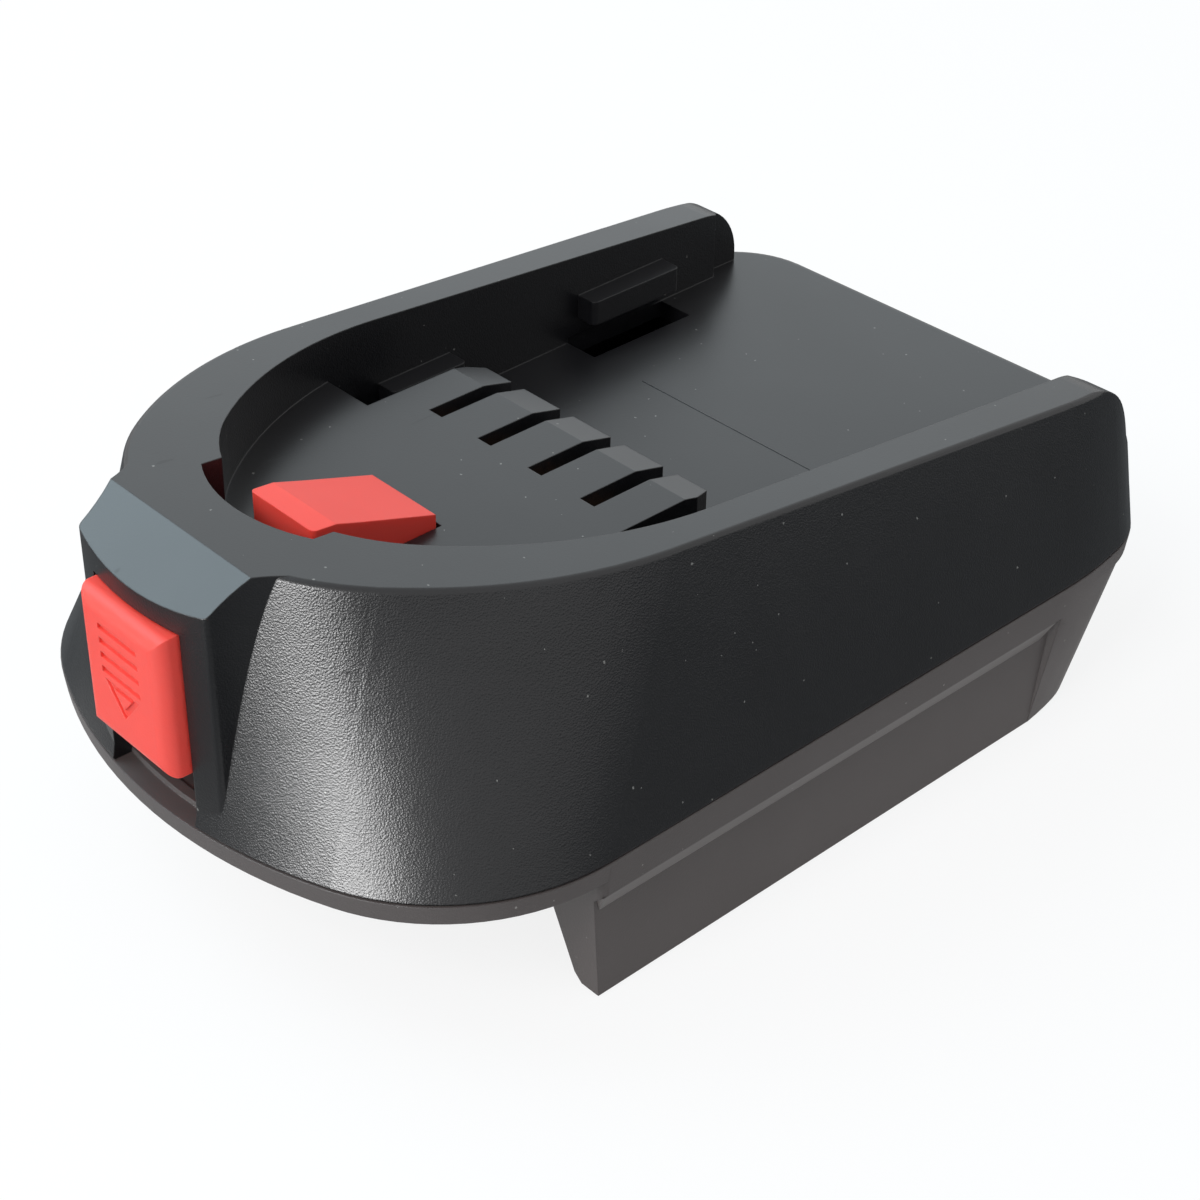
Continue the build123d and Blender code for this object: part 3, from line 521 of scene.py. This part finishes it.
red_insulation = insulation("wire_red_insulation", (0.5, 0.02, 0.018), (0.58, 0.03, 0.025))
black_insulation = insulation("wire_black_insulation", (0.012, 0.012, 0.012), (0.02, 0.02, 0.02))
white_insulation = insulation("wire_white_insulation", (0.7, 0.69, 0.65), (0.62, 0.6, 0.56))
print("wire sleeves:", [m.name for m in (red_insulation, black_insulation, white_insulation)])

# %% [markdown]
# The metals are sheet, wire and screws, rolled or drawn and then plated. Plating fills the lines that the
# rolls leave. What stays is a fine grain, an uneven gloss, and a tone that drifts where fingers or solder
# have been. So a plated metal takes the groups for grain and gloss, and leaves the scratches and the dust.

# %% Metals
metal_patches_per_metre, metal_gloss_swing = 220.0, 0.3
metal_grain_per_metre, metal_grain_height = 5000.0, 0.004 * mm


def plated_metal(name, colour, tarnish, roughness):
    """rolled and plated metal with a little tarnish"""
    made = bpy.data.materials.new(name)
    made.use_nodes = True
    tree = made.node_tree
    shader = tree.nodes["Principled BSDF"]
    shader.inputs["Metallic"].default_value = 1.0
    marks = use_group(tree, handling_group, Patches_per_metre=metal_patches_per_metre,
                      Strength=metal_gloss_swing)
    grain = use_group(tree, grain_group, Grain_per_metre=metal_grain_per_metre)
    drift = node_of(tree, "ShaderNodeMix", data_type="RGBA")
    drift.inputs["A"].default_value = (*colour, 1)
    drift.inputs["B"].default_value = (*tarnish, 1)
    tree.links.new(grain.outputs["Mask"], drift.inputs["Factor"])
    tree.links.new(drift.outputs["Result"], shader.inputs["Base Color"])
    tree.links.new(math_of(tree, "ADD", marks.outputs["Gloss"], roughness), shader.inputs["Roughness"])
    bump = node_of(tree, "ShaderNodeBump", Strength=0.6, Distance=metal_grain_height)
    tree.links.new(grain.outputs["Height"], bump.inputs["Height"])
    tree.links.new(bump.outputs["Normal"], shader.inputs["Normal"])
    return made


spring_steel = plated_metal("spring_steel", (0.62, 0.62, 0.63), (0.45, 0.45, 0.46), roughness=0.28)
screw_zinc = plated_metal("screw_zinc", (0.5, 0.51, 0.53), (0.34, 0.34, 0.35), roughness=0.35)
contact_copper = plated_metal("contact_copper", (0.82, 0.6, 0.42), (0.6, 0.38, 0.24), roughness=0.3)
blade_brass = plated_metal("blade_brass", (0.83, 0.72, 0.5), (0.62, 0.5, 0.3), roughness=0.3)
solder_tin = plated_metal("solder_tin", (0.68, 0.69, 0.7), (0.5, 0.5, 0.51), roughness=0.25)
print("metals:", [m.name for m in (spring_steel, screw_zinc, contact_copper, blade_brass, solder_tin)])

# %% [markdown]
# The two shells and the latch keep their CAD shapes, which already carry the large roundings. So do the
# pieces inside. A copy could be reworked for the portrait, but then the drawn part and the dressed part
# would no longer agree. So each CAD piece only takes a finish, through its material slot.

# %% Finishes of the CAD pieces
finish_of = {
    "upper_housing": upper_plastic, "lower_housing": lower_plastic, "release_latch": latch_plastic,
    "contact_carrier": inner_plastic, "blade_block": inner_plastic, "circuit_board": board_green,
    "id_resistor": resistor_glaze, "housing_screws": screw_zinc, "carrier_screws": screw_zinc,
    "blade_block_screws": screw_zinc, "latch_spring_left": spring_steel, "latch_spring_right": spring_steel,
    "sense_wire_tool_left": white_insulation, "sense_wire_tool_right": white_insulation,
    "sense_wire_battery_left": white_insulation, "sense_wire_battery_right": white_insulation,
    "wire_positive": red_insulation, "wire_negative": black_insulation,
}
contact_numbers = range(1, 5)
for number in contact_numbers:
    finish_of[f"tool_contact_{number}"] = contact_copper
    finish_of[f"battery_blade_{number}"] = blade_brass
for node, material in finish_of.items():
    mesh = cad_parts[node].data
    mesh.materials.clear()
    mesh.materials.append(material)
print("CAD pieces finished:", len(finish_of))

# %% [markdown]
# The screws in the drawing are plain turned shapes. A bought screw has a domed head with a cross recess and
# a rolled thread. Head and core are one turned piece, so half of their section is spun a full turn, and the
# seam is merged.

# %% Turned head and core
turn_steps = 40
pan_head = [(0, 0), (0.45, 0.03), (0.8, 0.16), (0.95, 0.4), (1, 0.55), (1, 1)]
core_share = 0.82


def turned_about(shape, verts, axis, angle):
    """turn some corners of a shape about an axis through its origin"""
    bmesh.ops.rotate(shape, verts=verts, cent=(0, 0, 0), matrix=Matrix.Rotation(angle, 3, axis))


def lathe(shape, section):
    """spin a half section, given as radius and height, a full turn about Z"""
    corners = [shape.verts.new((r, 0, z)) for r, z in section]
    edges = [shape.edges.new(pair) for pair in zip(corners, corners[1:])]
    bmesh.ops.spin(shape, geom=corners + edges, cent=(0, 0, 0), axis=(0, 0, 1), angle=math.tau,
                   steps=turn_steps, use_merge=True)
    bmesh.ops.remove_doubles(shape, verts=shape.verts, dist=weld_distance)
    bmesh.ops.recalc_face_normals(shape, faces=shape.faces)


# %% [markdown]
# A thread could be faked with a bump, but its outline shows from the side. Here it is a small triangle that
# is spun along the shank with a little rise at every step, which is how a lathe would cut it.

# %% Thread
thread_depth_share, thread_half_share = 0.3, 0.3


def add_thread(shape, radius, z_from, z_to, pitch):
    """a triangle spun along the shank, one step up at a time"""
    root = radius - thread_depth_share * radius
    half = pitch * thread_half_share
    section = ((root, 0, z_from - half), (radius, 0, z_from), (root, 0, z_from + half))
    start = shape.faces.new([shape.verts.new(corner) for corner in section])
    turns = (z_to - z_from) / pitch
    bmesh.ops.spin(shape, geom=[start], cent=(0, 0, 0), axis=(0, 0, 1), dvec=(0, 0, pitch / turn_steps),
                   angle=math.tau * turns, steps=int(turn_steps * turns))


# %% [markdown]
# The recess that the driver enters is a cross that gets smaller towards its bottom. Insetting the faces of
# the dome would distort them, so two crossed wedges are cut out with a boolean.

# %% Cross recess
recess_width_share, recess_reach_share, recess_depth_share = 0.3, 0.55, 0.6
recess_taper = (0.45, 0.8, 1)


def cut_recess(piece, width, reach, depth):
    """cut a cross recess into a head that faces down, at height zero"""
    cutter_shape = bmesh.new()
    for quarter in range(2):
        wedge = bmesh.ops.create_cube(cutter_shape, size=1.0)["verts"]
        bmesh.ops.scale(cutter_shape, verts=wedge, vec=(reach * 2, width, depth * 2))
        deep = [v for v in wedge if v.co.z > 0]
        bmesh.ops.scale(cutter_shape, verts=deep, vec=recess_taper)
        turned_about(cutter_shape, wedge, "Z", quarter * math.pi / 2)
    cutter_mesh = bpy.data.meshes.new("recess_cutter")
    cutter_shape.to_mesh(cutter_mesh)
    cutter_shape.free()
    cutter = bpy.data.objects.new("recess_cutter", cutter_mesh)
    bpy.context.scene.collection.objects.link(cutter)
    cut = piece.modifiers.new("recess", "BOOLEAN")
    cut.object, cut.operation, cut.solver, cut.use_self = cutter, "DIFFERENCE", "EXACT", True
    bpy.context.view_layer.update()
    finished = bpy.data.meshes.new_from_object(piece.evaluated_get(bpy.context.evaluated_depsgraph_get()))
    piece.modifiers.clear()
    bpy.data.objects.remove(cutter)
    return finished


# %% [markdown]
# Now the three come together. The order matters: the boolean wants a closed body, so the recess is cut into
# the plain blank, and the thread is added after it.


# %% One screw, from its sizes
def screw_shape(head_r, head_h, shank_r, length, pitch):
    """a cross-recessed pan head screw whose head faces down and whose seat is at height head_h"""
    shape = bmesh.new()
    core, shoulder, tip = core_share * shank_r, head_h + length - shank_r, head_h + length
    lathe(shape, [(r * head_r, h * head_h) for r, h in pan_head]
          + [(core, head_h), (core, shoulder), (0, tip)])
    plain = bpy.data.meshes.new("screw_blank")
    shape.to_mesh(plain)
    shape.free()
    blank = bpy.data.objects.new("screw_blank", plain)
    bpy.context.scene.collection.objects.link(blank)
    recessed = cut_recess(blank, recess_width_share * head_r, recess_reach_share * head_r,
                          recess_depth_share * head_h)
    bpy.data.objects.remove(blank)
    shape = bmesh.new()
    shape.from_mesh(recessed)
    add_thread(shape, shank_r, head_h + pitch, shoulder, pitch)
    return shape


# %% [markdown]
# Each new screw stands exactly where the drawing has its plain one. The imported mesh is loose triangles, so
# it is welded first: only then do the corners of one screw hang together, and the separate screws of a node
# can be told apart by walking from corner to corner.


# %% Where the drawn screws stand
def islands_of(node):
    """the box of each separate solid in a node"""
    shape = bmesh.new()
    shape.from_mesh(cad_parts[node].data)
    bmesh.ops.remove_doubles(shape, verts=shape.verts, dist=weld_distance)
    found, left = [], set(shape.verts)
    while left:
        island, waiting = [], [left.pop()]
        while waiting:
            vert = waiting.pop()
            island.append(vert.co)
            for edge in vert.link_edges:
                other = edge.other_vert(vert)
                if other in left:
                    left.discard(other)
                    waiting.append(other)
        lowest = [min(corner[k] for corner in island) for k in range(3)]
        highest = [max(corner[k] for corner in island) for k in range(3)]
        found.append((lowest, highest))
    shape.free()
    return sorted(found)


print("housing screws found:", len(islands_of("housing_screws")))

# %% [markdown]
# Two sizes of screw do for the whole adapter. Those of the blade block point down, the others up. Every
# screw is turned a little further than the last, because no two recesses in a real row line up.

# %% New screws in their places
large_screw = {"head_r": 2.8 * mm, "head_h": 1.8 * mm, "shank_r": 1.4 * mm, "length": 8.0 * mm,
               "pitch": 1.1 * mm}
small_screw = {"head_r": 2.1 * mm, "head_h": 1.4 * mm, "shank_r": 1.05 * mm, "length": 5.0 * mm,
               "pitch": 0.8 * mm}
turn_between_screws = 0.7

for node, sizes, points_up in (("housing_screws", large_screw, True), ("carrier_screws", small_screw, True),
                               ("blade_block_screws", small_screw, False)):
    for index, (low, high) in enumerate(islands_of(node), start=1):
        shape = screw_shape(**sizes)
        turned_about(shape, shape.verts, "X", 0 if points_up else math.pi)
        turned_about(shape, shape.verts, "Z", turn_between_screws * index)
        bottom = min(v.co.z for v in shape.verts)
        bmesh.ops.translate(shape, verts=shape.verts, vec=((low[0] + high[0]) / 2, (low[1] + high[1]) / 2,
                                                           low[2] - bottom))
        piece = make_piece(f"{node}_{index}", shape, "housing", screw_zinc, smooth_deg=40)
        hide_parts(node)
    print(node, "screws placed:", index)

# %% [markdown]
# A spring is wire wound on a rod. A curve with a round section could draw it, but the same spin that made
# the thread does it in one call: a circle goes round the axis with a rise at every step. The real one
# shortens when the latch goes down, but this piece rides on the housing and keeps its length.

# %% Latch springs
spring_coils, spring_steps, wire_sides = 7, 32, 12
wire_radius = 0.32 * mm
for side in ("left", "right"):
    node = "latch_spring_" + side
    low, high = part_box(node)
    mean_radius = (high.x - low.x) / 2 - wire_radius
    middle = ((low.x + high.x) / 2, (low.y + high.y) / 2)
    rise = (high.z - low.z - 2 * wire_radius) / (spring_coils * spring_steps)
    shape = bmesh.new()
    ring = bmesh.ops.create_circle(shape, cap_ends=True, segments=wire_sides, radius=wire_radius)["verts"]
    turned_about(shape, ring, "X", math.pi / 2)
    bmesh.ops.translate(shape, verts=ring, vec=(middle[0] + mean_radius, middle[1], low.z + wire_radius))
    bmesh.ops.spin(shape, geom=shape.faces[:], cent=(*middle, 0), axis=(0, 0, 1), dvec=(0, 0, rise),
                   angle=math.tau * spring_coils, steps=spring_coils * spring_steps)
    bmesh.ops.holes_fill(shape, edges=shape.edges, sides=wire_sides)
    bmesh.ops.recalc_face_normals(shape, faces=shape.faces)
    spring = make_piece("coil_" + side, shape, "housing", spring_steel, smooth_deg=60)
    spring.modifiers.clear()
    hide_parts(node)
    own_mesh(spring)
    print(node, "faces:", len(spring.data.polygons))

# %% [markdown]
# Each skirt is thinner than the band above it, and a long bevel leads from one to the other. The bevel in
# the drawing is less high than the real one, so a small strip of three corners fills it out. The strip is
# drawn along the skirt, and its rear end is cut back where the real corner is round. Its plastic is the
# lower shell's, painted about twice as light: a painted highlight for the light that the real bevel catches.

# %% Bevels under the band
band_x, panel_x = 38.2 * mm, 37.3 * mm
bevel_top, bevel_inner, bevel_bottom = 13.9 * mm, 13.2 * mm, 11.6 * mm
bevel_front, bevel_length = -32.3 * mm, 70.7 * mm
front_slant, rear_cut = 0.3 * mm, 1.8 * mm
sink = 0.03 * mm

for side, x_sign in (("right", 1), ("left", -1)):
    shape = bmesh.new()
    places = [(band_x, bevel_front, bevel_top + sink), (panel_x - sink, bevel_front, bevel_inner),
              (panel_x - sink, bevel_front + front_slant, bevel_bottom)]
    profile = shape.faces.new([shape.verts.new((x_sign * x, y, z)) for x, y, z in places])
    drawn = bmesh.ops.extrude_face_region(shape, geom=[profile], use_keep_orig=True)["geom"]
    rear = [part for part in drawn if isinstance(part, bmesh.types.BMVert)]
    bmesh.ops.translate(shape, verts=rear, vec=(0, bevel_length, 0))
    lowest = [min(rear, key=lambda vert: vert.co.z)]
    bmesh.ops.translate(shape, verts=lowest, vec=(0, -front_slant - rear_cut, 0))
    bmesh.ops.recalc_face_normals(shape, faces=shape.faces)
    # the strip's plastic carries a painted highlight
    make_piece("skirt_bevel_" + side, shape, "housing", bevel_plastic_painted_light)
    print("skirt bevel", side, "is", round(bevel_length / mm, 1), "mm long")

# %% [markdown]
# A mould is put together from blocks, and where an insert ends it leaves a fine line. One runs across the
# deck. It could be a scratch in the bump, but a low flat rib catches the light as the real one does.

# %% Line of the mould insert
line_size = (27.6 * mm, 0.14 * mm, 0.06 * mm)
line_place = (-0.6 * mm, 23 * mm, 29.01 * mm)

insert_line = bmesh.new()
bmesh.ops.create_cube(insert_line, size=1.0)
bmesh.ops.scale(insert_line, verts=insert_line.verts, vec=line_size)
bmesh.ops.translate(insert_line, verts=insert_line.verts, vec=line_place)
make_piece("insert_line", insert_line, "housing", upper_plastic)
print("insert line across", round(line_size[0] / mm, 1), "mm")

# %% [markdown]
# Soldered ends are small mounds of tin that wet both the tail and the wire. A plain half ball would sit on
# the sheet like a drop of water. So each half ball is made narrower as it rises, which gives the leaning
# flank of tin that has flowed.

# %% Solder at the tails
blob_pinch = 0.35
blade_blob_radius, blade_blob_height = 1.0 * mm, 1.1 * mm
from_blade_end, below_blade_top = 1.0 * mm, 0.4 * mm
board_blob_radius, board_blob_height = 0.95 * mm, 0.8 * mm


def solder(name, place, radius, height):
    """a wetted blob of solder, standing on a level place"""
    shape = bmesh.new()
    bmesh.ops.create_uvsphere(shape, u_segments=20, v_segments=12, radius=radius)
    bmesh.ops.bisect_plane(shape, geom=shape.verts[:] + shape.edges[:] + shape.faces[:],
                           dist=weld_distance, plane_co=(0, 0, 0), plane_no=(0, 0, -1), clear_outer=True)
    bmesh.ops.holes_fill(shape, edges=shape.edges, sides=0)
    for vert in shape.verts:
        lift = vert.co.z / radius
        vert.co.x *= 1 - blob_pinch * lift
        vert.co.y *= 1 - blob_pinch * lift
        vert.co.z *= height / radius
    bmesh.ops.recalc_face_normals(shape, faces=shape.faces)
    bmesh.ops.translate(shape, verts=shape.verts, vec=place)
    return make_piece(name, shape, "housing", solder_tin, smooth_deg=60)


for number in contact_numbers:
    low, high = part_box(f"battery_blade_{number}")
    tail = ((low.x + high.x) / 2, high.y - from_blade_end, high.z - below_blade_top)
    solder(f"blade_solder_{number}", tail, blade_blob_radius, blade_blob_height)
board_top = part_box("circuit_board")[1].z
for side in ("left", "right"):
    for half, name in (("tool", "in"), ("battery", "out")):
        low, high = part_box(f"sense_wire_{half}_{side}")
        pad = (min(low.x, high.x, key=abs), high.y if half == "tool" else low.y, board_top)
        solder(f"board_solder_{name}_{side}", pad, board_blob_radius, board_blob_height)
print("soldered ends done")

# %% [markdown]
# A chip resistor is a bar of ceramic whose two ends are dipped in tin. So the plain block of the drawing
# becomes three: a glazed middle and two metal caps, each with its edges rounded a little.

# %% Chip resistor with its metal ends
cap_length, cap_round = 0.55 * mm, 0.08 * mm

low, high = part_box("id_resistor")
for name, x0, x1, material in (("resistor_chip", low.x + cap_length, high.x - cap_length, resistor_glaze),
                               ("resistor_end_left", low.x, low.x + cap_length, solder_tin),
                               ("resistor_end_right", high.x - cap_length, high.x, solder_tin)):
    shape = bmesh.new()
    bmesh.ops.create_cube(shape, size=1.0)
    bmesh.ops.scale(shape, verts=shape.verts, vec=(x1 - x0, high.y - low.y, high.z - low.z))
    bmesh.ops.bevel(shape, geom=shape.edges[:], offset=cap_round, affect="EDGES", segments=2, profile=0.5,
                    material=-1)
    bmesh.ops.translate(shape, verts=shape.verts, vec=((x0 + x1) / 2, (low.y + high.y) / 2,
                                                       (low.z + high.z) / 2))
    piece = make_piece(name, shape, "housing", material)
    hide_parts("id_resistor")
print("resistor done")
